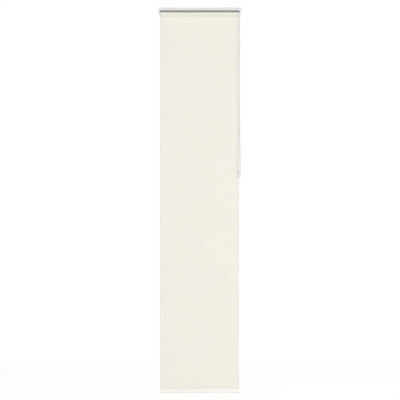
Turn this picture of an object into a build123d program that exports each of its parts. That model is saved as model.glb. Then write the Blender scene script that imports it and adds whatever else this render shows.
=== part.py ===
from build123d import *
import math
import os

# Blackout roller blind, in millimetres, +Z up. The origin is on the ceiling plane, midway between the
# two ceiling screws and above the roller's axis. The front faces -Y and the chain hangs at the +X end.

# Overall sizes
overall_width = 500.0
overall_height = 2300.0
fabric_inset_left = 12.0
fabric_inset_right = 18.0
axis_drop = 36.8

# Head rail, an aluminium extrusion that is open at the top for the clips
rail_wall = 1.4
rail_top_gap = 0.8
rail_front_y = -22.0
rail_back_y = 23.6
rail_front_height = 16.5
rail_back_height = 35.2
rail_web_depth = 8.2
rail_lip = 5.4
rail_toe = 3.5
rail_corner = 2.6
rail_foot_corner = 0.9
rail_inset_left = 10.7
rail_inset_right = 15.0
port_bore = 1.5
port_wall = 1.4
port_slot = 1.6
port_front_y = -15.5
port_back_y = 16.5
port_offset = 2.2

# Mounting clips, bent from spring steel
clip_sheet = 1.2
clip_width = 32.0
clip_inset = 70.0
clip_hole = 4.5
clip_countersink = 0.7
clip_step = 2.5
clip_slope = 3.0
clip_tongue_width = 14.0
clip_slit = 1.6
clip_slit_length = 15.0
clip_gap = 0.1

# End caps, moulded with a shoulder at 45 degrees and an arm that carries the roller
cap_wall = 2.0
cap_lip = 0.4
cap_block_height = 20.0
cap_shoulder_drop = 27.0
cap_waist_drop = 38.0
cap_waist_radius = 6.0
arm_thickness = 2.6
arm_drop = 11.3
arm_corner = 5.0
boss_wall = 1.5
boss_height = 1.6
shelf_thickness = 1.5
shelf_half_width = 11.0
tongue_length = 12.0
rib_thickness = 1.2
rib_spacing = 32.0

# Self-tapping screws that hold the caps
screw_radius = 1.4
screw_length = 20.0
screw_head_radius = 2.8
screw_head_height = 1.5
screw_gap = 0.2
recess_width = 0.9
recess_length = 3.4
recess_depth = 0.8

# Roller tube, fabric and its turns
tube_radius = 12.5
tube_wall = 1.0
channel_width = 4.4
channel_depth = 2.2
channel_wall = 0.8
fabric_thickness = 0.36
turn_pitch = 0.40
half_turns_at_rest = 3
lift_turns = 20
strip_gap = 0.2

# Idle end: plug, retaining ring, spring and sprung pin
end_flange = 0.8
end_gap = 0.1
plug_length = 34.0
plug_gap = 0.1
plug_bore = 4.2
plug_bore_depth = 30.0
plug_relief = 1.2
plug_fins = 6
fin_thickness = 2.0
pin_radius = 2.5
pin_reach = 4.0
pin_length = 19.0
pin_collar_radius = 3.9
pin_collar = 1.8
pin_socket_gap = 0.06
ring_length = 2.4
spring_wire = 0.8
spring_turns = 6
spring_gap = 0.25
wire_sides = 6
coil_sides = 12

# Chain clutch: fixed spindle, wrap springs, driving sleeve and chain wheel
spring_space = 2.6
spindle_bore = 2.2
spindle_flange_radius = 8.5
spindle_flange = 1.2
spindle_key = 7.6
spindle_key_length = 2.6
spindle_neck_step = 1.0
spindle_tip = 1.2
sleeve_length = 24.0
sleeve_flange_lip = 0.7
sleeve_wall = 1.2
sleeve_rib_angle = 110.0
running_gap = 0.06
side_gap = 0.2
clutch_wall = 1.3
wheel_tail_length = 21.0
wheel_tail_angle = 150.0
wrap_wire = 0.9
wrap_wire_width = 1.4
wrap_turns = 3
wrap_count = 2
retainer_gap = 0.4
retainer_length = 1.6

# Bead chain and the wheel that it runs on
bead_diameter = 4.5
bead_pitch = 6.0
core_diameter = 1.4
bead_sides = 8
core_sides = 6
pockets = 12
pocket_gap = 0.05
wheel_width = 5.2
wheel_rim_inside = 0.6
groove_width = 1.9
guard_wall = 1.2
guard_gap = 0.55
guard_tab_width = 4.0
guard_tab_length = 2.0
chain_start_drop = 10.9
connector_length = 12.0
connector_wall = 0.9
connector_gap = 0.3
connector_slot = 2.0

# Bottom bar, hem strip and bar caps
bar_height = 28.0
bar_thickness = 9.0
bar_wall = 1.3
bar_top_corner = 1.5
bar_cap = 1.1
bar_cap_plug = 8.0
hem_strip_thickness = 1.4
hem_strip_height = 7.0
hem_gap = 0.14
hem_slot = 1.4

# Places worked out from the sizes above
left_end = -overall_width / 2
right_end = overall_width / 2
rail_left = left_end + rail_inset_left
rail_right = right_end - rail_inset_right
clip_spacing = overall_width - 2 * clip_inset
rail_top = -rail_top_gap
web_top = rail_top - rail_web_depth
port_z = web_top - rail_wall - port_offset
cap_top = rail_top + cap_lip
cap_corner = rail_corner + cap_lip
axis_z = -axis_drop
fabric_left = left_end + fabric_inset_left
fabric_right = right_end - fabric_inset_right
channel_reach = tube_radius - channel_depth - channel_wall
sleeve_bore = channel_reach - plug_gap - sleeve_wall
sleeve_flange_radius = tube_radius + sleeve_flange_lip
spindle_radius = sleeve_bore - spring_space
spindle_neck_radius = spindle_radius - spindle_neck_step
retainer_radius = channel_reach - retainer_gap
roll_radius = tube_radius + turn_pitch * (half_turns_at_rest / 2 + 1)
panel_front = roll_radius - fabric_thickness
panel_middle = roll_radius - fabric_thickness / 2
bar_top = bar_height - overall_height
bar_bottom = -overall_height
pitch_radius = bead_pitch / 2 / math.sin(math.pi / pockets)
core_reach = pitch_radius * math.cos(math.pi / pockets)
sleeve_flange_left = fabric_right + end_gap
wheel_left = sleeve_flange_left + end_flange + side_gap
wheel_right = wheel_left + wheel_width
chain_x = (wheel_left + wheel_right) / 2
right_arm = wheel_right + side_gap
left_arm = fabric_left - end_gap - end_flange - side_gap
bead_radius = bead_diameter / 2
guard_inside = max(pitch_radius + bead_radius, sleeve_flange_radius) + guard_gap
guard_outside = guard_inside + guard_wall
arm_half_width = guard_outside
full_roll_radius = roll_radius + lift_turns * turn_pitch
lift_travel = math.pi * lift_turns * (2 * panel_middle + lift_turns * turn_pitch)
chain_start_z = axis_z - chain_start_drop

# The hanging chain's route, chosen by hand: down the front strand, round the bottom, up the rear one
chain_route = [
    (chain_x, -pitch_radius, chain_start_z),
    (chain_x, -pitch_radius, -700.0),
    (234.7, -11.5, -742.0),
    (233.2, -11.3, -790.0),
    (232.9, -11.2, -850.0),
    (231.7, -11.0, -905.0),
    (231.0, -10.9, -948.0),
    (231.3, -10.8, -976.0),
    (231.0, -11.0, -992.0),
    (231.1, -10.86, -1005.2),
    (232.7, -6.7, -1011.2),
    (235.2, 0.0, -1013.6),
    (237.7, 6.7, -1011.2),
    (239.3, 10.86, -1005.2),
    (239.4, 11.0, -990.0),
    (239.8, 10.8, -960.0),
    (239.6, 11.1, -905.0),
    (239.5, 11.3, -845.0),
    (238.6, 11.5, -788.0),
    (236.6, 11.6, -735.0),
    (chain_x, pitch_radius, -685.0),
    (chain_x, pitch_radius, chain_start_z),
]
connector_run = 7


def section(sketch, start, end):
    """Extrude a sketch drawn in (y, z) along X from start to end."""
    return extrude(Plane.YZ.offset(start) * sketch, end - start, dir=(1, 0, 0))


def box_between(low, high):
    """A box from its lowest to its highest corner."""
    size = [b - a for a, b in zip(low, high)]
    middle = [(a + b) / 2 for a, b in zip(low, high)]
    return Pos(*middle) * Box(*size)


def rect_between(low, high):
    """A rectangle in a sketch plane from its lowest to its highest corner."""
    size = [b - a for a, b in zip(low, high)]
    middle = [(a + b) / 2 for a, b in zip(low, high)]
    return Pos(*middle) * Rectangle(*size)


def on_axis(shape):
    """Put a sketch drawn about (0, 0) on the roller's axis."""
    return Pos(0, axis_z) * shape


def rod(radius, start, end, y=0.0, z=axis_z):
    """A round bar along X."""
    return section(Pos(y, z) * Circle(radius), start, end)


def sleeve(outside, inside, start, end, y=0.0, z=axis_z):
    """A round tube along X."""
    return section(Pos(y, z) * (Circle(outside) - Circle(inside)), start, end)


def sector(outside, inside, middle_angle, width_angle):
    """Part of a ring about (0, 0), centred on one angle, in degrees."""
    half = math.radians(width_angle / 2)
    reach = outside * 2
    wedge = Polygon(
        (0, 0),
        (reach, -reach * math.tan(half / 2)),
        (reach, reach * math.tan(half / 2)),
        align=None,
    )
    wedge = Rot(0, 0, -width_angle / 4) * wedge + Rot(0, 0, width_angle / 4) * wedge
    return Rot(0, 0, middle_angle) * ((Circle(outside) - Circle(inside)) & wedge)


def corners_at(sketch, places_y, z):
    """A sketch's corners at one height and at any of several places in y."""
    level = [v for v in sketch.vertices() if abs(v.Y - z) < 0.001]
    return [v for v in level if min(abs(v.X - y) for y in places_y) < 0.001]


# Head rail and clips


def head_rail():
    """Channel section with inward lips, a deeper rear web, a front toe and two screw ports."""
    y0 = rail_front_y
    y1 = rail_back_y
    wall = rail_wall
    front_foot = rail_top - rail_front_height
    back_foot = rail_top - rail_back_height
    profile = rect_between((y0, front_foot), (y0 + wall, rail_top))
    profile += rect_between((y1 - wall, back_foot), (y1, rail_top))
    profile += rect_between((y0, web_top - wall), (y1, web_top))
    profile += rect_between((y0, rail_top - wall), (y0 + rail_lip, rail_top))
    profile += rect_between((y1 - rail_lip, rail_top - wall), (y1, rail_top))
    profile += rect_between((y0, front_foot), (y0 + rail_toe, front_foot + wall))
    profile = fillet(corners_at(profile, (y0,), front_foot), rail_foot_corner)
    inner = corners_at(profile, (y0 + wall, y1 - wall), rail_top - wall)
    profile = fillet(inner, rail_corner - wall)
    profile = fillet(corners_at(profile, (y0, y1), rail_top), rail_corner)
    for port_y in (port_front_y, port_back_y):
        profile += Pos(port_y, port_z) * Circle(port_bore + port_wall)
        profile -= Pos(port_y, port_z) * Circle(port_bore)
        reach = 2 * (port_bore + port_wall)
        profile -= rect_between(
            (port_y - port_slot / 2, port_z - reach), (port_y + port_slot / 2, port_z)
        )
    return section(profile, rail_left, rail_right)


def mounting_clip(x):
    """Sheet clip whose edges hook under the rail's lips, with a spring tongue at the back."""
    half = clip_width / 2
    lip_under = rail_top - rail_wall - clip_gap
    front_hook = rail_front_y + rail_corner + clip_gap
    back_hook = rail_back_y - rail_corner - clip_gap
    front_bend = rail_front_y + rail_lip + clip_gap
    back_bend = rail_back_y - rail_lip - clip_gap
    top_line = [
        (front_hook, lip_under),
        (front_bend, lip_under),
        (front_bend + clip_slope, 0.0),
        (back_bend - clip_slope, 0.0),
        (back_bend, lip_under),
        (back_hook, lip_under),
    ]
    drop = clip_sheet
    bottom_line = [
        (back_hook, lip_under - drop),
        (back_bend - drop * 0.35, lip_under - drop),
        (back_bend - clip_slope - drop * 0.35, -drop),
        (front_bend + clip_slope + drop * 0.35, -drop),
        (front_bend + drop * 0.35, lip_under - drop),
        (front_hook, lip_under - drop),
    ]
    profile = Polygon(*top_line, *bottom_line, align=None)
    clip = section(profile, x - half, x + half)
    clip -= Pos(x, 0, 0) * Cylinder(clip_hole / 2, 4 * clip_sheet)
    sink = Cone(clip_hole / 2, clip_hole / 2 + clip_countersink, clip_countersink)
    clip -= Pos(x, 0, -clip_sheet + clip_countersink / 2) * Rot(180, 0, 0) * sink
    for side in (-1, 1):
        slit_x = x + side * clip_tongue_width / 2
        clip -= box_between(
            (slit_x - clip_slit / 2, back_hook - clip_slit_length, -3 * clip_step),
            (slit_x + clip_slit / 2, back_hook + 1, clip_step),
        )
    return clip


# End caps


def cap_outline(inset):
    """The cap's outline seen from the end, moved inward by inset."""
    y0 = rail_front_y - cap_lip + inset
    y1 = rail_back_y + cap_lip - inset
    half = arm_half_width - inset
    foot = axis_z - arm_drop + inset
    corners = [
        (y0, cap_top - inset),
        (y1, cap_top - inset),
        (y1, -cap_shoulder_drop),
        (half, -cap_waist_drop),
        (half, foot),
        (-half, foot),
        (-half, -cap_waist_drop),
        (y0, -cap_shoulder_drop),
    ]
    outline = Polygon(*corners, align=None)
    tops = [v for v in outline.vertices() if v.Y > cap_top - inset - 0.01]
    outline = fillet(tops, max(cap_corner - inset, 0.5))
    feet = [v for v in outline.vertices() if v.Y < foot + 0.01]
    outline = fillet(feet, max(arm_corner - inset, 0.5))
    waist = [v for v in outline.vertices() if abs(v.Y + cap_waist_drop) < 0.01]
    return fillet(waist, cap_waist_radius)


def across(points):
    """A prism along Y through the whole cap, from points given as (x, z)."""
    depth = rail_back_y - rail_front_y + 4 * cap_lip
    start = rail_front_y - 2 * cap_lip
    plane = Plane(origin=(0, start, 0), x_dir=(1, 0, 0), z_dir=(0, -1, 0))
    return extrude(plane * Polygon(*points, align=None), depth, dir=(0, 1, 0))


def end_cap(side, rail_end, outer_end, arm_inner):
    """Shell with a 45 degree shoulder, an arm, a shelf that enters the rail, and two screw bosses."""
    arm_outer = arm_inner + side * arm_thickness
    floor = cap_top - cap_block_height
    shoulder_foot = -cap_shoulder_drop - abs(outer_end - arm_outer)
    foot = axis_z - arm_drop - 1
    skin = outer_end - side * cap_wall
    ceiling = cap_top - cap_wall
    slope_start = -cap_shoulder_drop + cap_wall * math.tan(math.radians(22.5))
    slope_end = slope_start - abs(skin - arm_outer)
    cap = across([(rail_end, 1), (outer_end, 1), (outer_end, floor), (rail_end, floor)])
    cap += across(
        [
            (arm_inner, floor),
            (outer_end, floor),
            (outer_end, -cap_shoulder_drop),
            (arm_outer, shoulder_foot),
            (arm_outer, foot),
            (arm_inner, foot),
        ]
    )
    cap &= section(cap_outline(0.0), *sorted((rail_end, outer_end)))
    hollow = across(
        [
            (rail_end - side, ceiling),
            (skin, ceiling),
            (skin, slope_start),
            (arm_outer, slope_end),
            (arm_outer, floor + cap_wall),
            (rail_end - side, floor + cap_wall),
        ]
    )
    hollow &= section(cap_outline(cap_wall), *sorted((rail_end - side, skin)))
    inside = hollow
    cap -= hollow
    tongue_end = rail_end - side * tongue_length
    shelf_low = web_top + clip_gap
    shelf = sorted((skin, tongue_end))
    cap += box_between(
        (shelf[0], -shelf_half_width, shelf_low),
        (shelf[1], shelf_half_width, shelf_low + shelf_thickness),
    )
    for rib_y in (-rib_spacing / 2, 0.0, rib_spacing / 2):
        rib = box_between(
            (min(rail_end, skin), rib_y - rib_thickness / 2, foot),
            (max(rail_end, skin), rib_y + rib_thickness / 2, 0),
        )
        cap += rib & inside
    for port_y in (port_front_y, port_back_y):
        boss = rod(screw_radius + screw_gap + boss_wall, *sorted((skin, rail_end)), port_y, port_z)
        cap += boss
        cap -= rod(screw_radius + screw_gap, *sorted((outer_end, rail_end)), port_y, port_z)
        seat = sorted((outer_end, outer_end - side * screw_head_height))
        cap -= rod(screw_head_radius + screw_gap, *seat, port_y, port_z)
    return cap


def left_cap():
    """The idle end's cap: its arm has a boss that the sprung pin enters."""
    cap = end_cap(-1, rail_left, left_end, left_arm)
    arm_outer = left_arm - arm_thickness
    cap += rod(pin_radius + boss_wall, arm_outer - boss_height, arm_outer)
    return cap - rod(pin_radius + pin_socket_gap, arm_outer - boss_height - 1, left_arm + 1)


def right_cap():
    """The chain end's cap: its arm has the spindle's seat and key, and slots for the guard's tabs."""
    cap = end_cap(1, rail_right, right_end, right_arm)
    arm_outer = right_arm + arm_thickness
    cap += rod(spindle_key / 2 * math.sqrt(2) + boss_wall, arm_outer, arm_outer + boss_height)
    cap -= rod(spindle_flange_radius + clip_gap, right_arm - 1, right_arm + spindle_flange)
    key = on_axis(Rectangle(spindle_key + 2 * clip_gap, spindle_key + 2 * clip_gap))
    cap -= section(key, right_arm, arm_outer + boss_height + 1)
    return cap - guard_tabs(clip_gap)


def cap_screw(side, outer_end, y):
    """Pan head screw with a cross recess, along X."""
    head_out = outer_end
    head_in = outer_end - side * screw_head_height
    tip = head_in - side * screw_length
    screw = rod(screw_head_radius, *sorted((head_out, head_in)), y, port_z)
    rim = screw.edges().filter_by(GeomType.CIRCLE).sort_by(Axis.X)[-1 if side > 0 else 0]
    screw = chamfer(rim, screw_head_height * 0.5)
    screw += rod(screw_radius, *sorted((head_in, tip)), y, port_z)
    cross = Rectangle(recess_width, recess_length) + Rectangle(recess_length, recess_width)
    recess = sorted((head_out + side, head_out - side * recess_depth))
    return screw - section(Pos(y, port_z) * cross, *recess)


# Roller tube and its fabric


def roller_tube():
    """Thin tube with an inward key channel along its front."""
    inner = tube_radius - tube_wall
    pocket_floor = -(tube_radius - channel_depth)
    half = channel_width / 2
    profile = Circle(tube_radius) - Circle(inner)
    profile += rect_between(
        (-inner - tube_wall / 2, -half - channel_wall),
        (pocket_floor + channel_wall, half + channel_wall),
    )
    profile -= rect_between((-tube_radius - 1, -half), (pocket_floor, half))
    return section(on_axis(profile), fabric_left, fabric_right)


def fabric_strip():
    """Plastic strip that fills the key channel and holds the fabric's top edge."""
    half = channel_width / 2 - strip_gap
    floor = -(tube_radius - channel_depth) - strip_gap
    strip = rect_between((-tube_radius, -half), (floor, half)) & Circle(tube_radius)
    return section(on_axis(strip), fabric_left, fabric_right)


def half_turn(start_radius, index, surface):
    """One half turn of the fabric's spiral, starting at the rear for even ones."""
    start = start_radius - index * turn_pitch / 2
    end = start - turn_pitch / 2
    side = 1 if index % 2 == 0 else -1
    middle = side * (start - end) / 2
    radius = (start + end) / 2
    points = [(side * start, 0), (middle, side * radius), (-side * end, 0)]
    if surface == "inner":
        points.reverse()
    return ThreePointArc(*points)


def fabric_roll():
    """The turns left on the tube, one band whose outer end leaves at the rear."""
    outer = [half_turn(roll_radius, i, "outer") for i in range(half_turns_at_rest)]
    inner_start = roll_radius - fabric_thickness
    inner = [half_turn(inner_start, i, "inner") for i in range(half_turns_at_rest)]
    inner.reverse()
    joins = [Line(outer[-1] @ 1, inner[0] @ 0), Line(inner[-1] @ 1, outer[0] @ 0)]
    band = make_face(Wire(outer + [joins[0]] + inner + [joins[1]]))
    return section(on_axis(band), fabric_left, fabric_right)


def fabric_panel():
    """The hanging sheet, from the rear of the roll to the top of the bottom bar."""
    return box_between(
        (fabric_left, panel_front, bar_top), (fabric_right, roll_radius, axis_z)
    )


# Idle end


def idle_plug():
    """Finned plug in the tube's left end, with a blind bore for the sprung pin."""
    outside = fabric_left - end_gap - end_flange
    inner_end = fabric_left + plug_length
    reach = tube_radius - tube_wall - plug_gap
    profile = Circle(plug_bore + plug_relief + 1)
    fin = rect_between((0, -fin_thickness / 2), (reach + 1, fin_thickness / 2))
    for i in range(plug_fins):
        profile += Rot(0, 0, (i + 0.5) * 360 / plug_fins) * fin
    plug = section(on_axis(profile & Circle(reach)), fabric_left - end_gap, inner_end)
    plug += rod(tube_radius, outside, fabric_left - end_gap)
    return plug - rod(plug_bore, outside, outside + plug_bore_depth)


def plug_ring():
    """Ring pressed into the plug's mouth, which keeps the pin's collar in."""
    outside = fabric_left - end_gap - end_flange
    return sleeve(plug_bore, pin_radius + running_gap, outside, outside + ring_length)


def idle_pin():
    """Steel pin with a collar, shown sprung out into the left cap's arm."""
    outside = fabric_left - end_gap - end_flange
    tip = outside - pin_reach
    collar_left = outside + ring_length + running_gap
    pin = rod(pin_radius, tip, tip + pin_length)
    ends = pin.edges().filter_by(GeomType.CIRCLE)
    pin = chamfer(ends, pin_radius * 0.25)
    return pin + rod(pin_collar_radius, collar_left, collar_left + pin_collar)


def coil(profile, radius, pitch, turns, start, angle=0.0):
    """A wire coiled about the roller's axis in short straight steps, from its section's start along X."""
    count = math.ceil(turns * coil_sides)
    sections = []
    for i in range(count + 1):
        around = math.radians(angle) + 2 * math.pi * turns * i / count
        outward = Vector(0, math.cos(around), math.sin(around))
        ahead = Vector(0, -math.sin(around), math.cos(around))
        middle = Vector(start + pitch * turns * i / count, 0, axis_z) + outward * radius
        sections.append(Plane(origin=middle, x_dir=outward, z_dir=ahead) * profile)
    return loft(sections, ruled=True)


def pin_spring():
    """Compression spring between the pin's collar and the bottom of the plug's bore."""
    outside = fabric_left - end_gap - end_flange
    start = outside + ring_length + running_gap + pin_collar + spring_wire / 2 + running_gap
    end = outside + plug_bore_depth - spring_wire / 2 - running_gap
    radius = plug_bore - spring_gap - spring_wire / 2
    wire = RegularPolygon(spring_wire / 2, wire_sides)
    return coil(wire, radius, (end - start) / spring_turns, spring_turns, start)


# Chain clutch


def clutch_spindle():
    """Fixed spindle: a square key and a flange in the arm, a bored shank, and a neck for the retainer."""
    flange_out = right_arm + spindle_flange
    shank_end = fabric_right - sleeve_length + end_gap
    neck_end = shank_end - retainer_length - spindle_tip
    spindle = rod(spindle_radius, shank_end, right_arm)
    spindle += rod(spindle_neck_radius, neck_end, shank_end)
    spindle += rod(spindle_flange_radius, right_arm, flange_out)
    key = on_axis(Rectangle(spindle_key, spindle_key))
    spindle += section(key, flange_out, flange_out + spindle_key_length)
    return spindle - rod(spindle_bore, neck_end, flange_out + spindle_key_length)


def spindle_retainer():
    """Push-on ring on the spindle's neck that keeps the sleeve in place."""
    end = fabric_right - sleeve_length + end_gap - running_gap
    return sleeve(retainer_radius, spindle_neck_radius, end - retainer_length, end)


def drive_sleeve():
    """Sleeve keyed to the tube's channel, with an inner rib that the wrap springs' tangs meet."""
    inner_end = fabric_right - sleeve_length + end_gap
    reach = tube_radius - tube_wall - plug_gap
    notch_half = channel_width / 2 + channel_wall + plug_gap
    notch_floor = -channel_reach + plug_gap
    profile = Circle(reach) - Circle(sleeve_bore)
    profile -= rect_between((-reach - 1, -notch_half), (notch_floor, notch_half))
    profile += sector(sleeve_bore + clutch_wall / 2, sleeve_bore - clutch_wall, 180, sleeve_rib_angle)
    body = section(on_axis(profile), inner_end, sleeve_flange_left)
    flange = Circle(sleeve_flange_radius) - Circle(sleeve_bore)
    return body + section(on_axis(flange), sleeve_flange_left, sleeve_flange_left + end_flange)


def bead(gap):
    """A bead about the origin, its cord along Z: a ball in eight flats each way, enlarged by gap."""
    radius = bead_radius + gap
    end = radius * math.cos(math.pi / bead_sides)
    belt = radius * math.sin(math.pi / bead_sides)
    ball = extrude(RegularPolygon(radius, bead_sides, rotation=180 / bead_sides), end, both=True)
    return chamfer(ball.edges().filter_by(Plane.XY), end - belt)


def on_wheel(shape, index, radius):
    """Put a shape at a radius on the chain wheel, so many bead pitches round from the rear."""
    return Pos(chain_x, 0, axis_z) * Rot(index * 360 / pockets, 0, 0) * Pos(0, radius, 0) * shape


def chain_wheel():
    """Wheel with a pocket for each bead, a groove for the cord and a tail beside the springs."""
    rim = pitch_radius - wheel_rim_inside
    groove_floor = core_reach - core_diameter / 2 - side_gap
    wheel = rod(rim, wheel_left, wheel_right)
    groove = sleeve(rim + 1, groove_floor, chain_x - groove_width / 2, chain_x + groove_width / 2)
    wheel -= groove
    for i in range(pockets):
        wheel -= on_wheel(bead(pocket_gap), i, pitch_radius)
    tail_out = sleeve_bore - running_gap * 2
    tail_in = sleeve_bore - clutch_wall
    tail = on_axis(sector(tail_out, tail_in, 0, wheel_tail_angle))
    wheel += section(tail, wheel_left - wheel_tail_length, wheel_left)
    return wheel - rod(spindle_radius + running_gap, wheel_left - 1, wheel_right + 1)


def wrap_spring(index):
    """One wrap spring: flat wire coiled on the spindle, with a tang at each end."""
    gap_middle = (wheel_tail_angle + 360 - sleeve_rib_angle) / 4
    turns = wrap_turns + (360 - 2 * gap_middle) / 360
    pitch = wrap_wire_width + side_gap
    length = pitch * turns + wrap_wire_width
    start = wheel_left - side_gap + wrap_wire_width / 2 - (index + 1) * (length + side_gap)
    inside = (spindle_radius + running_gap) / math.cos(math.pi / coil_sides)
    wire = Rectangle(wrap_wire, wrap_wire_width)
    spring = coil(wire, inside + wrap_wire / 2, pitch, turns, start, gap_middle)
    tang_out = sleeve_bore - clutch_wall / 3
    tang = Pos((inside + tang_out) / 2, 0) * Rectangle(tang_out - inside, wrap_wire)
    for angle, middle in ((gap_middle, start), (-gap_middle, start + pitch * turns)):
        half = wrap_wire_width / 2
        spring += section(on_axis(Rot(0, 0, angle) * tang), middle - half, middle + half)
    return spring


# Bead chain


def chain_on_wheel():
    """The beads that lie over the top half of the wheel, and the cord that runs straight between them."""
    strand = extrude(RegularPolygon(core_diameter / 2, core_sides), bead_pitch / 2, both=True)
    chain = on_wheel(bead(0.0), 0, pitch_radius)
    for i in range(pockets // 2):
        chain += on_wheel(strand, i + 0.5, core_reach)
        chain += on_wheel(bead(0.0), i + 1, pitch_radius)
    return chain


def route_radii(points):
    """Each corner's arc radius, as large as its two runs allow."""
    radii = []
    for before, corner, after in zip(points, points[1:], points[2:]):
        arriving = Vector(*corner) - Vector(*before)
        leaving = Vector(*after) - Vector(*corner)
        turn = math.radians(arriving.get_angle(leaving))
        radii.append(0.45 * min(arriving.length, leaving.length) / math.tan(turn / 2))
    return radii


def chain_loop():
    """The hanging loop as a plain tube of the beads' diameter."""
    radii = route_radii(chain_route)
    path = FilletPolyline(*chain_route, radius=radii)
    start = Plane(origin=path @ 0, z_dir=path % 0)
    tube = sweep(start * Circle(bead_radius), path=path)
    expected = math.pi * bead_radius**2 * path.length
    print("chain corner radii", [round(r, 1) for r in radii])
    print("chain length", round(path.length, 1), "volume share", round(tube.volume / expected, 5))
    return tube


def chain_connector():
    """Split sleeve that clips round the chain's two ends."""
    low = Vector(*chain_route[connector_run + 1])
    high = Vector(*chain_route[connector_run])
    plane = Plane(origin=(low + high) / 2, x_dir=(1, 0, 0), z_dir=high - low)
    inside = bead_radius + connector_gap
    ring = Circle(inside + connector_wall) - Circle(inside)
    ring -= rect_between((0, -connector_slot / 2), (2 * inside, connector_slot / 2))
    body = extrude(plane * ring, connector_length / 2, both=True)
    return body


# Chain guard


def guard_tabs(gap):
    """Tabs at the top, front and rear of the guard that enter slots in the arm."""
    middle = guard_inside + guard_wall / 2
    across_wall = guard_wall + 2 * gap
    along_wall = guard_tab_width + 2 * gap
    tabs = Pos(0, middle) * Rectangle(along_wall, across_wall)
    for side in (-1, 1):
        tabs += Pos(side * middle, -guard_tab_width) * Rectangle(across_wall, along_wall)
    return section(on_axis(tabs), right_arm, right_arm + guard_tab_length + gap)


def chain_guard():
    """Arch over the wheel, open below for the two strands."""
    outside = guard_outside
    profile = Circle(outside) + rect_between((-outside, -outside), (outside, 0))
    profile -= Circle(guard_inside) + rect_between((-guard_inside, -outside), (guard_inside, 0))
    profile -= rect_between((-outside - 1, -outside - 1), (outside + 1, -arm_drop))
    return section(on_axis(profile), fabric_right + side_gap, right_arm) + guard_tabs(0.0)


# Bottom bar


def bar_outline():
    """The bar's outline: small corners at the top and a round foot."""
    outline = Pos(panel_middle, (bar_top + bar_bottom) / 2) * Rectangle(bar_thickness, bar_height)
    tops = [v for v in outline.vertices() if abs(v.Y - bar_top) < 0.01]
    outline = fillet(tops, bar_top_corner)
    feet = [v for v in outline.vertices() if abs(v.Y - bar_bottom) < 0.01]
    return fillet(feet, bar_thickness / 2 - 0.1)


def hem_lines():
    """Edges of the hem's fold: rear and front faces of the strip, and its top and bottom."""
    strip_rear = panel_front - hem_gap
    strip_front = strip_rear - hem_strip_thickness
    strip_top = bar_top - bar_wall - hem_gap - fabric_thickness
    return strip_front, strip_rear, strip_top - hem_strip_height, strip_top


def hem_pocket(gap):
    """The pocket that the folded hem lies in, with its slot to the bar's top."""
    front, rear, low, high = hem_lines()
    reach = hem_gap + fabric_thickness + gap
    pocket = rect_between((front - reach, low - reach), (rear + reach, high + reach))
    slot = rect_between(
        (panel_middle - hem_slot / 2, high), (panel_middle + hem_slot / 2, bar_top + 1)
    )
    return pocket + slot


def bar_hollow(gap):
    """The hollow below the hem's pocket, moved inward by gap."""
    front, rear, low, high = hem_lines()
    top = low - 2 * hem_gap - fabric_thickness - bar_wall - gap
    half = bar_thickness / 2 - bar_wall - gap
    bottom = bar_bottom + bar_wall + gap
    shape = rect_between((panel_middle - half, bottom), (panel_middle + half, top))
    feet = [v for v in shape.vertices() if abs(v.Y - bottom) < 0.01]
    return fillet(feet, half - 0.1)


def bottom_bar():
    """Hollow extrusion with a slotted pocket for the hem."""
    profile = bar_outline() - hem_pocket(hem_gap) - bar_hollow(0.0)
    return section(profile, fabric_left, fabric_right)


def hem_strip():
    """Flat strip that the fabric folds round, wider than the bar's slot."""
    front, rear, low, high = hem_lines()
    return section(rect_between((front, low), (rear, high)), fabric_left, fabric_right)


def fabric_hem():
    """The fabric's bottom edge: down the strip's rear face, under it and up its front face."""
    front, rear, low, high = hem_lines()
    t = fabric_thickness
    profile = rect_between((panel_front, low - hem_gap - t), (roll_radius, bar_top))
    profile += rect_between((front - hem_gap - t, low - hem_gap - t), (roll_radius, low - hem_gap))
    profile += rect_between((front - hem_gap - t, low - hem_gap - t), (front - hem_gap, high))
    return section(profile, fabric_left, fabric_right)


def bar_end(side):
    """End cap of the bottom bar, with a plug in the bar's hollow."""
    face = fabric_left if side < 0 else fabric_right
    cap = section(bar_outline(), *sorted((face, face + side * bar_cap)))
    plug = section(bar_hollow(clip_gap), *sorted((face, face - side * bar_cap_plug)))
    return cap + plug


def all_parts():
    """Every node by name."""
    screws = []
    for side, outer_end in ((-1, left_end), (1, right_end)):
        for port_y in (port_front_y, port_back_y):
            screws.append(cap_screw(side, outer_end, port_y))
    return {
        "head_rail": head_rail(),
        "mounting_clip_left": mounting_clip(-clip_spacing / 2),
        "mounting_clip_right": mounting_clip(clip_spacing / 2),
        "end_cap_left": left_cap(),
        "end_cap_right": right_cap(),
        "cap_screws": Compound(children=screws),
        "chain_guard": chain_guard(),
        "clutch_spindle": clutch_spindle(),
        "spindle_retainer": spindle_retainer(),
        "roller_tube": roller_tube(),
        "fabric_strip": fabric_strip(),
        "fabric_roll": fabric_roll(),
        "idle_plug": idle_plug(),
        "plug_ring": plug_ring(),
        "pin_spring": pin_spring(),
        "idle_pin": idle_pin(),
        "drive_sleeve": drive_sleeve(),
        "chain_wheel": chain_wheel(),
        "wrap_springs": Compound(children=[wrap_spring(i) for i in range(wrap_count)]),
        "chain_on_wheel": chain_on_wheel(),
        "chain_loop": chain_loop(),
        "chain_connector": chain_connector(),
        "fabric_panel": fabric_panel(),
        "fabric_hem": fabric_hem(),
        "hem_strip": hem_strip(),
        "bottom_bar": bottom_bar(),
        "bar_cap_left": bar_end(-1),
        "bar_cap_right": bar_end(1),
    }


os.makedirs("parts", exist_ok=True)
for name, shape in all_parts().items():
    export_step(shape, f"parts/{name}.step")
print("roll radius", roll_radius, "full roll", full_roll_radius)
print("lift travel", round(lift_travel, 2), "turns", lift_turns)
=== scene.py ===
import math
from bisect import bisect_left

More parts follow.
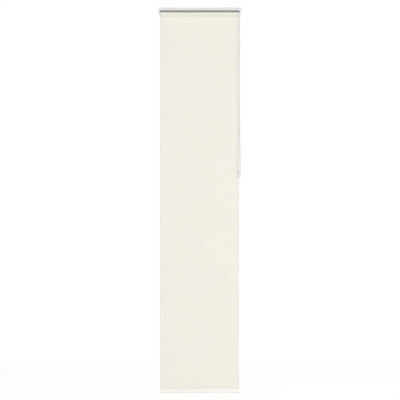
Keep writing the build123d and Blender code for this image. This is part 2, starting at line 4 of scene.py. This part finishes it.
import bpy
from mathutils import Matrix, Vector


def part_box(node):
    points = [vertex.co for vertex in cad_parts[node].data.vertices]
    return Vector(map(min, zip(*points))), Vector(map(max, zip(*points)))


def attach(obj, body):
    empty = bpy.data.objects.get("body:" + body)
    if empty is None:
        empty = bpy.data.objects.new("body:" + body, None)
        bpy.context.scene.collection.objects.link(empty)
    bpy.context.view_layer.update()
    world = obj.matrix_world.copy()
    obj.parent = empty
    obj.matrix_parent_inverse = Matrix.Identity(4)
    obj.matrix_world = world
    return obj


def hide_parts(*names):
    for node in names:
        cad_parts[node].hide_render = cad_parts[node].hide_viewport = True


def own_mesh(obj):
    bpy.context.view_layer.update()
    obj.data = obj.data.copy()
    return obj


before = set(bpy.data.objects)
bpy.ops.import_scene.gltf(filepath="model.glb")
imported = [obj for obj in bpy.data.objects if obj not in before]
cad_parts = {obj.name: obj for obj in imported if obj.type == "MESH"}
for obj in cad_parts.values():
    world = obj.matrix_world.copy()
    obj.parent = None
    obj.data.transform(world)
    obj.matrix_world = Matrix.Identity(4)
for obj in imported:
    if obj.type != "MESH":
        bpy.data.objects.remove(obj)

# Looks of a blackout roller blind, in metres, in the CAD model's frame: +Z up, the front faces -Y.

# Camera: the photograph's square frame is this tall at the blind's plane, seen level from this height
VIEW_HEIGHT = 2.388
VIEW_CENTRE_Z = -1.148
CAMERA_DISTANCE = 25.0
CAMERA_REACH = 100.0
SENSOR_WIDTH = 36.0

# Bead chain
BEAD_DIAMETER = 0.0045
BEAD_PITCH = 0.006
BEAD_SIDES = 16
BEAD_BANDS = 8
CORE_RADIUS = 0.0007
CORE_SIDES = 8
ROUTE_STEPS = 40

# Fabric: its waves are this deep at most, and die out over this share of its height at each end
FABRIC_WAVE = 0.0012
FABRIC_HELD = 0.06
FABRIC_COLUMNS = 96
FABRIC_ROWS = 420
WEAVE_PERIOD = 0.0007

# Studio: the floor shows this share of plain white, so that its shadows stay faint
FLOOR_Z = -2.62
FLOOR_REACH = 12.0
FLOOR_WHITE = 0.96
WORLD_LIGHT = 0.41

# Each area light's place, size and power in watts. The key stands high enough to leave the gap below
# the rail dark, the low fill evens the light out down the cloth, and the third lights the back.
LIGHTS = {
    "key": ((-4.0, -12.0, 2.1), (3.5, 2.5), 480.0),
    "fill": ((2.3, -4.8, -2.0), (2.2, 0.9), 72.0),
    "back": ((5.0, 9.0, 0.8), (3.0, 3.0), 420.0),
}


def linear(red, green, blue):
    """A colour written as 0 to 255 sRGB values, as the linear values that nodes take."""
    values = []
    for value in (red, green, blue):
        share = value / 255
        low = share / 12.92
        high = ((share + 0.055) / 1.055) ** 2.4
        values.append(low if share <= 0.04045 else high)
    return (*values, 1.0)


# Materials


class Surface:
    """A material and its node tree, built step by step."""

    def __init__(self, name):
        self.material = bpy.data.materials.new(name)
        self.material.use_nodes = True
        self.tree = self.material.node_tree
        self.shader = self.tree.nodes["Principled BSDF"]
        self.place = self.add("ShaderNodeTexCoord").outputs["Object"]

    def add(self, kind, **inputs):
        """A new node, with its inputs by name and underscores for spaces."""
        node = self.tree.nodes.new(kind)
        for name, value in inputs.items():
            node.inputs[name.replace("_", " ")].default_value = value
        return node

    def link(self, output, target):
        self.tree.links.new(output, target)

    def stretched(self, x, y, z):
        """Coordinates scaled along each axis, so a pattern can be finer one way than another."""
        mapping = self.add("ShaderNodeMapping", Scale=(x, y, z))
        self.link(self.place, mapping.inputs["Vector"])
        return mapping.outputs["Vector"]

    def noise(self, scale, detail=3.0, along=None):
        node = self.add("ShaderNodeTexNoise", Scale=scale, Detail=detail, Roughness=0.55)
        self.link(along or self.place, node.inputs["Vector"])
        return node.outputs["Fac"]

    def stripes(self, period, direction):
        """Smooth bands of one period along X, Y or Z."""
        node = self.add("ShaderNodeTexWave", Scale=2 * math.pi / (20 * period))
        node.bands_direction = direction
        self.link(self.place, node.inputs["Vector"])
        return node.outputs["Fac"]

    def math(self, operation, first, second):
        node = self.add("ShaderNodeMath")
        node.operation = operation
        for socket, value in zip(node.inputs, (first, second)):
            if isinstance(value, (int, float)):
                socket.default_value = value
            else:
                self.link(value, socket)
        return node.outputs["Value"]

    def colour(self, fac, low, high, start=0.35, end=0.65):
        """Colour from low to high, as a value goes from start to end."""
        node = self.add("ShaderNodeValToRGB")
        first, last = node.color_ramp.elements
        first.position, first.color = start, linear(*low)
        last.position, last.color = end, linear(*high)
        self.link(fac, node.inputs["Fac"])
        self.link(node.outputs["Color"], self.shader.inputs["Base Color"])

    def roughness(self, fac, low, high):
        """Roughness from low to high, as a value goes from 0 to 1."""
        spread = self.math("MULTIPLY", fac, high - low)
        self.link(self.math("ADD", spread, low), self.shader.inputs["Roughness"])

    def bump(self, height, strength, distance):
        node = self.add("ShaderNodeBump", Strength=strength, Distance=distance)
        self.link(height, node.inputs["Height"])
        self.link(node.outputs["Normal"], self.shader.inputs["Normal"])


def coated_metal(name, low, high):
    """Powder coat: a fine orange peel and a faint change of tone."""
    s = Surface(name)
    s.colour(s.noise(35), low, high)
    s.roughness(s.noise(900), 0.34, 0.46)
    s.bump(s.noise(1600, 2.0), 0.25, 0.00005)
    return s.material


def mill_aluminium():
    """Drawn aluminium with fine lines along the tube."""
    s = Surface("mill_aluminium")
    lines = s.noise(1.0, 4.0, along=s.stretched(30, 2600, 2600))
    s.shader.inputs["Metallic"].default_value = 1.0
    s.colour(lines, (196, 197, 199), (216, 217, 219))
    s.roughness(lines, 0.26, 0.44)
    s.bump(lines, 0.2, 0.00002)
    return s.material


def moulded_plastic(name, low, high, rough_low, rough_high):
    """Moulded plastic: even colour with faint flow, and a fine spark eroded grain."""
    s = Surface(name)
    s.colour(s.noise(60), low, high)
    s.roughness(s.noise(700), rough_low, rough_high)
    s.bump(s.noise(2600, 2.0), 0.2, 0.00004)
    return s.material


def chain_plastic():
    """Glossy bead plastic that lets a little light through."""
    s = Surface("chain_plastic")
    s.colour(s.noise(220), (200, 201, 202), (211, 212, 213))
    s.roughness(s.noise(500), 0.22, 0.34)
    s.bump(s.noise(1500), 0.08, 0.00003)
    s.shader.inputs["Subsurface Weight"].default_value = 0.12
    s.shader.inputs["Subsurface Radius"].default_value = (0.002, 0.002, 0.002)
    s.shader.inputs["Subsurface Scale"].default_value = 1.0
    return s.material


def steel(name, low, high, rough_low, rough_high):
    """Plated or oiled steel with small cloudy patches."""
    s = Surface(name)
    clouds = s.noise(160, 4.0)
    s.shader.inputs["Metallic"].default_value = 1.0
    s.colour(clouds, low, high)
    s.roughness(clouds, rough_low, rough_high)
    s.bump(s.noise(1200), 0.12, 0.00003)
    return s.material


def blackout_weave(name, low, high, relief):
    """Coated plain weave: warp and weft of about equal yarns, slubs, and a soft matt face."""
    s = Surface(name)
    warp = s.stripes(WEAVE_PERIOD, "X")
    weft = s.stripes(WEAVE_PERIOD, "Z")
    checks = s.math("MULTIPLY", warp, weft)
    slubs = s.noise(1.0, 2.0, along=s.stretched(1400, 1400, 60))
    cross_slubs = s.noise(1.0, 2.0, along=s.stretched(60, 1400, 1400))
    yarns = s.math("ADD", slubs, cross_slubs)
    height = s.math("ADD", checks, s.math("MULTIPLY", yarns, 0.5))
    tone = s.math("ADD", s.math("MULTIPLY", yarns, 0.35), s.math("MULTIPLY", s.noise(5), 0.3))
    s.colour(tone, low, high, 0.3, 0.7)
    s.roughness(s.noise(400), 0.82, 0.92)
    s.bump(height, relief, 0.00006)
    s.shader.inputs["Specular IOR Level"].default_value = 0.3
    return s.material


RAIL_COAT = coated_metal("rail_coat", (222, 222, 225), (228, 228, 231))
BAR_COAT = coated_metal("bar_coat", (244, 243, 236), (248, 247, 240))
ALUMINIUM = mill_aluminium()
CAP_PLASTIC = moulded_plastic("cap_plastic", (231, 231, 231), (237, 237, 237), 0.4, 0.55)
WHITE_PLASTIC = moulded_plastic("white_plastic", (238, 238, 234), (243, 243, 239), 0.26, 0.4)
GREY_PLASTIC = moulded_plastic("grey_plastic", (172, 174, 177), (182, 184, 187), 0.45, 0.6)
CONNECTOR_PLASTIC = moulded_plastic(
    "connector_plastic", (168, 170, 172), (182, 184, 186), 0.2, 0.32
)
BEADS = chain_plastic()
SPRING_STEEL = steel("spring_steel", (150, 151, 153), (178, 179, 181), 0.28, 0.42)
ZINC_STEEL = steel("zinc_steel", (188, 190, 193), (208, 210, 212), 0.3, 0.45)

# The roll shows the side that faces the window where the cloth hangs, with its smoother coating.
FABRIC_FACE = blackout_weave("fabric_face", (240, 237, 227), (245, 242, 232), 0.3)
FABRIC_BACK = blackout_weave("fabric_back", (237, 238, 219), (241, 242, 224), 0.12)

NODE_FINISHES = {
    "head_rail": RAIL_COAT,
    "mounting_clip_left": SPRING_STEEL,
    "mounting_clip_right": SPRING_STEEL,
    "end_cap_left": CAP_PLASTIC,
    "end_cap_right": CAP_PLASTIC,
    "cap_screws": ZINC_STEEL,
    "chain_guard": CAP_PLASTIC,
    "clutch_spindle": GREY_PLASTIC,
    "spindle_retainer": GREY_PLASTIC,
    "roller_tube": ALUMINIUM,
    "fabric_strip": WHITE_PLASTIC,
    "fabric_roll": FABRIC_BACK,
    "idle_plug": GREY_PLASTIC,
    "plug_ring": GREY_PLASTIC,
    "pin_spring": SPRING_STEEL,
    "idle_pin": ZINC_STEEL,
    "drive_sleeve": GREY_PLASTIC,
    "chain_wheel": WHITE_PLASTIC,
    "wrap_springs": SPRING_STEEL,
    "chain_on_wheel": BEADS,
    "chain_connector": CONNECTOR_PLASTIC,
    "fabric_hem": FABRIC_FACE,
    "hem_strip": WHITE_PLASTIC,
    "bottom_bar": BAR_COAT,
    "bar_cap_left": WHITE_PLASTIC,
    "bar_cap_right": WHITE_PLASTIC,
}


def finish_nodes():
    """Give every CAD node that stays its finish."""
    for name, material in NODE_FINISHES.items():
        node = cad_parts[name]
        if not node.material_slots:
            node.data.materials.append(material)
        for slot in node.material_slots:
            slot.material = material


# Camera


def place_camera():
    """Level camera far in front of the blind, with the photograph's frame."""
    camera = bpy.data.cameras.new("camera")
    camera.sensor_fit = "HORIZONTAL"
    camera.sensor_width = SENSOR_WIDTH
    camera.lens = SENSOR_WIDTH * CAMERA_DISTANCE / VIEW_HEIGHT
    camera.clip_end = CAMERA_REACH
    holder = bpy.data.objects.new("camera", camera)
    holder.location = (0, -CAMERA_DISTANCE, VIEW_CENTRE_Z)
    holder.rotation_euler = (math.pi / 2, 0, 0)
    bpy.context.scene.collection.objects.link(holder)
    bpy.context.scene.camera = holder


# Bead chain

# The CAD route's points, down the front strand, round the bottom and up the rear one. The two ends stand
# 10 mm higher, inside the guard, so that the hanging beads run on from those that lie on the wheel.
CHAIN_ROUTE = [
    (0.2357, -0.01159, -0.0377),
    (0.2357, -0.01159, -0.700),
    (0.2347, -0.0115, -0.742),
    (0.2332, -0.0113, -0.790),
    (0.2329, -0.0112, -0.850),
    (0.2317, -0.0110, -0.905),
    (0.2310, -0.0109, -0.948),
    (0.2313, -0.0108, -0.976),
    (0.2310, -0.0110, -0.992),
    (0.2311, -0.01086, -1.0052),
    (0.2327, -0.0067, -1.0112),
    (0.2352, 0.0, -1.0136),
    (0.2377, 0.0067, -1.0112),
    (0.2393, 0.01086, -1.0052),
    (0.2394, 0.0110, -0.990),
    (0.2398, 0.0108, -0.960),
    (0.2396, 0.0111, -0.905),
    (0.2395, 0.0113, -0.845),
    (0.2386, 0.0115, -0.788),
    (0.2366, 0.0116, -0.735),
    (0.2357, 0.01159, -0.685),
    (0.2357, 0.01159, -0.0377),
]


def route_line(points):
    """Points along the NURBS spline whose control points are the route's."""
    curve = bpy.data.curves.new("chain_route", "CURVE")
    curve.dimensions = "3D"
    curve.resolution_u = ROUTE_STEPS
    spline = curve.splines.new("NURBS")
    spline.points.add(len(points) - 1)
    for target, point in zip(spline.points, points):
        target.co = (*point, 1.0)
    spline.order_u = 3
    spline.use_endpoint_u = True
    holder = bpy.data.objects.new("chain_route", curve)
    line = bpy.data.meshes.new_from_object(holder)
    path = [v.co.copy() for v in line.vertices]
    bpy.data.objects.remove(holder)
    return path


def lengths_along(path):
    """The distance from the path's start to each of its points."""
    total = [0.0]
    for a, b in zip(path, path[1:]):
        total.append(total[-1] + (b - a).length)
    return total


def point_at(path, along, distance):
    """The point at a distance along the path, and its direction there."""
    index = bisect_left(along, distance) - 1
    a, b = path[index], path[index + 1]
    share = (distance - along[index]) / (along[index + 1] - along[index])
    return a.lerp(b, share), (b - a).normalized()


def mesh_object(name, points, faces, smooth=True):
    """An object in the scene from points and faces."""
    mesh = bpy.data.meshes.new(name)
    mesh.from_pydata(points, [], faces)
    mesh.update()
    for polygon in mesh.polygons:
        polygon.use_smooth = smooth
    made = bpy.data.objects.new(name, mesh)
    bpy.context.scene.collection.objects.link(made)
    return made


def add_tube(points, faces, path, radius, sides):
    """A closed tube along a path, with a section that doesn't twist."""
    start = len(points)
    normal = Vector((1, 0, 0))
    for i, centre in enumerate(path):
        before = path[max(i - 1, 0)]
        after = path[min(i + 1, len(path) - 1)]
        ahead = (after - before).normalized()
        normal = (normal - ahead * normal.dot(ahead)).normalized()
        other = ahead.cross(normal)
        for k in range(sides):
            angle = 2 * math.pi * k / sides
            points.append(centre + radius * (math.cos(angle) * normal + math.sin(angle) * other))
    for i in range(len(path) - 1):
        for k in range(sides):
            a = start + i * sides + k
            b = start + i * sides + (k + 1) % sides
            faces.append((a, b, b + sides, a + sides))
    faces.append(tuple(start + k for k in reversed(range(sides))))
    last = start + (len(path) - 1) * sides
    faces.append(tuple(last + k for k in range(sides)))


def add_bead(points, faces, centre, ahead):
    """A ball with its poles on the cord."""
    radius = BEAD_DIAMETER / 2
    turn = Vector((0, 0, 1)).rotation_difference(ahead).to_matrix()
    bottom = len(points)
    points.append(centre - turn @ Vector((0, 0, radius)))
    for i in range(1, BEAD_BANDS):
        angle = math.pi * i / BEAD_BANDS
        ring = radius * math.sin(angle)
        height = -radius * math.cos(angle)
        for k in range(BEAD_SIDES):
            around = 2 * math.pi * k / BEAD_SIDES
            local = Vector((ring * math.cos(around), ring * math.sin(around), height))
            points.append(centre + turn @ local)
    points.append(centre + turn @ Vector((0, 0, radius)))
    top = len(points) - 1
    first = bottom + 1
    last = first + (BEAD_BANDS - 2) * BEAD_SIDES
    for k in range(BEAD_SIDES):
        following = (k + 1) % BEAD_SIDES
        faces.append((bottom, first + following, first + k))
        for ring_start in range(first, last, BEAD_SIDES):
            a = ring_start + k
            b = ring_start + following
            faces.append((a, b, b + BEAD_SIDES, a + BEAD_SIDES))
        faces.append((last + k, last + following, top))


def hanging_chain():
    """The loop below the wheel: beads on a thin cord, closed by the connector."""
    path = route_line(CHAIN_ROUTE)
    along = lengths_along(path)
    total = along[-1]
    pin_low, pin_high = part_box("idle_pin")
    axis_z = (pin_low.z + pin_high.z) / 2
    # The last bead on the wheel is level with the roller's axis, so the first one here is a pitch lower.
    lead = CHAIN_ROUTE[0][2] - (axis_z - BEAD_PITCH)
    count = round((total - 2 * lead) / BEAD_PITCH)
    step = (total - 2 * lead) / count
    points, faces = [], []
    add_tube(points, faces, path, CORE_RADIUS, CORE_SIDES)
    for i in range(count + 1):
        centre, ahead = point_at(path, along, lead + i * step)
        add_bead(points, faces, centre, ahead)
    chain = mesh_object("hanging_chain", points, faces)
    chain.data.materials.append(BEADS)
    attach(chain, "frame")
    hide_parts("chain_loop")
    print("chain length", round(total, 4), "beads", count + 1, "pitch", round(step, 6))


# Fabric


def cloth_wave(u, v):
    """How far the cloth bulges, from 0 to 1, at a share u of its width and v of its height."""
    wave = math.sin(7.1 * u + 3.0 * v) * math.sin(11 * v + 1.3 * u)
    wave += 0.5 * math.sin(15.3 * u - 9.0 * v + 0.7)
    fade = min(1.0, min(v, 1 - v) / FABRIC_HELD)
    return fade * (wave + 1.5) / 3


def fabric_sheet():
    """The hanging cloth: a thin sheet, held at the roll and the bar, with faint waves away from the roll."""
    low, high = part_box("fabric_panel")
    thickness = high.y - low.y
    middle = (low.y + high.y) / 2
    width = high.x - low.x
    height = high.z - low.z
    columns, rows = FABRIC_COLUMNS, FABRIC_ROWS
    points, faces = [], []
    for face in (-1, 1):
        for j in range(rows + 1):
            v = j / rows
            for i in range(columns + 1):
                u = i / columns
                y = middle + face * thickness / 2 + FABRIC_WAVE * cloth_wave(u, v)
                points.append((low.x + u * width, y, low.z + v * height))
    sheet_points = (rows + 1) * (columns + 1)
    for side in (0, 1):
        for j in range(rows):
            for i in range(columns):
                a = side * sheet_points + j * (columns + 1) + i
                quad = (a, a + 1, a + columns + 2, a + columns + 1)
                faces.append(quad if side == 0 else tuple(reversed(quad)))
    edge = list(range(columns + 1))
    edge += [j * (columns + 1) + columns for j in range(1, rows + 1)]
    edge += [rows * (columns + 1) + i for i in range(columns - 1, -1, -1)]
    edge += [j * (columns + 1) for j in range(rows - 1, 0, -1)]
    for a, b in zip(edge, edge[1:] + edge[:1]):
        faces.append((a, a + sheet_points, b + sheet_points, b))
    cloth = mesh_object("hanging_fabric", points, faces)
    cloth.data.materials.append(FABRIC_FACE)
    cloth.data.materials.append(FABRIC_BACK)
    for polygon in cloth.data.polygons[rows * columns : 2 * rows * columns]:
        polygon.material_index = 1
    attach(cloth, "frame")
    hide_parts("fabric_panel")
    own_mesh(cloth)


# Studio


def area_light(name, place, size, power):
    """A soft light that faces the middle of the view."""
    light = bpy.data.lights.new(name, "AREA")
    light.shape = "RECTANGLE"
    light.size, light.size_y = size
    light.energy = power
    holder = bpy.data.objects.new(name, light)
    holder.location = place
    aim = Vector((0, 0, VIEW_CENTRE_Z)) - Vector(place)
    holder.rotation_euler = aim.to_track_quat("-Z", "Y").to_euler()
    bpy.context.scene.collection.objects.link(holder)


def white_to_camera(tree, surface_out, output_in, share):
    """Mix in plain white for camera, glossy and transmission rays."""
    rays = tree.nodes.new("ShaderNodeLightPath")
    white = tree.nodes.new("ShaderNodeEmission")
    white.inputs["Strength"].default_value = 1.0
    seen = rays.outputs["Is Camera Ray"]
    for kind in ("Is Glossy Ray", "Is Transmission Ray"):
        either = tree.nodes.new("ShaderNodeMath")
        either.operation = "MAXIMUM"
        tree.links.new(seen, either.inputs[0])
        tree.links.new(rays.outputs[kind], either.inputs[1])
        seen = either.outputs["Value"]
    amount = tree.nodes.new("ShaderNodeMath")
    amount.operation = "MULTIPLY"
    amount.inputs[1].default_value = share
    tree.links.new(seen, amount.inputs[0])
    mix = tree.nodes.new("ShaderNodeMixShader")
    tree.links.new(amount.outputs["Value"], mix.inputs["Fac"])
    tree.links.new(surface_out, mix.inputs[1])
    tree.links.new(white.outputs["Emission"], mix.inputs[2])
    tree.links.new(mix.outputs["Shader"], output_in)


def studio():
    """Pale floor, white surroundings and soft light."""
    world = bpy.data.worlds.new("studio")
    world.use_nodes = True
    tree = world.node_tree
    background = tree.nodes["Background"]
    background.inputs["Color"].default_value = (1.0, 1.0, 1.0, 1.0)
    background.inputs["Strength"].default_value = WORLD_LIGHT
    output = tree.nodes["World Output"]
    white_to_camera(tree, background.outputs["Background"], output.inputs["Surface"], 1.0)
    bpy.context.scene.world = world

    signs = ((-1, -1), (1, -1), (1, 1), (-1, 1))
    corners = [(x * FLOOR_REACH, y * FLOOR_REACH, FLOOR_Z) for x, y in signs]
    floor = mesh_object("floor", corners, [(0, 1, 2, 3)], smooth=False)
    paint = bpy.data.materials.new("floor_paint")
    paint.use_nodes = True
    shader = paint.node_tree.nodes["Principled BSDF"]
    shader.inputs["Base Color"].default_value = linear(238, 238, 238)
    shader.inputs["Roughness"].default_value = 0.9
    output = paint.node_tree.nodes["Material Output"]
    white_to_camera(paint.node_tree, shader.outputs["BSDF"], output.inputs["Surface"], FLOOR_WHITE)
    floor.data.materials.append(paint)

    for name, (place, size, power) in LIGHTS.items():
        area_light(name, place, size, power)


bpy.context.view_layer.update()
place_camera()
hanging_chain()
fabric_sheet()
finish_nodes()
studio()
bpy.context.scene.view_settings.view_transform = "Standard"
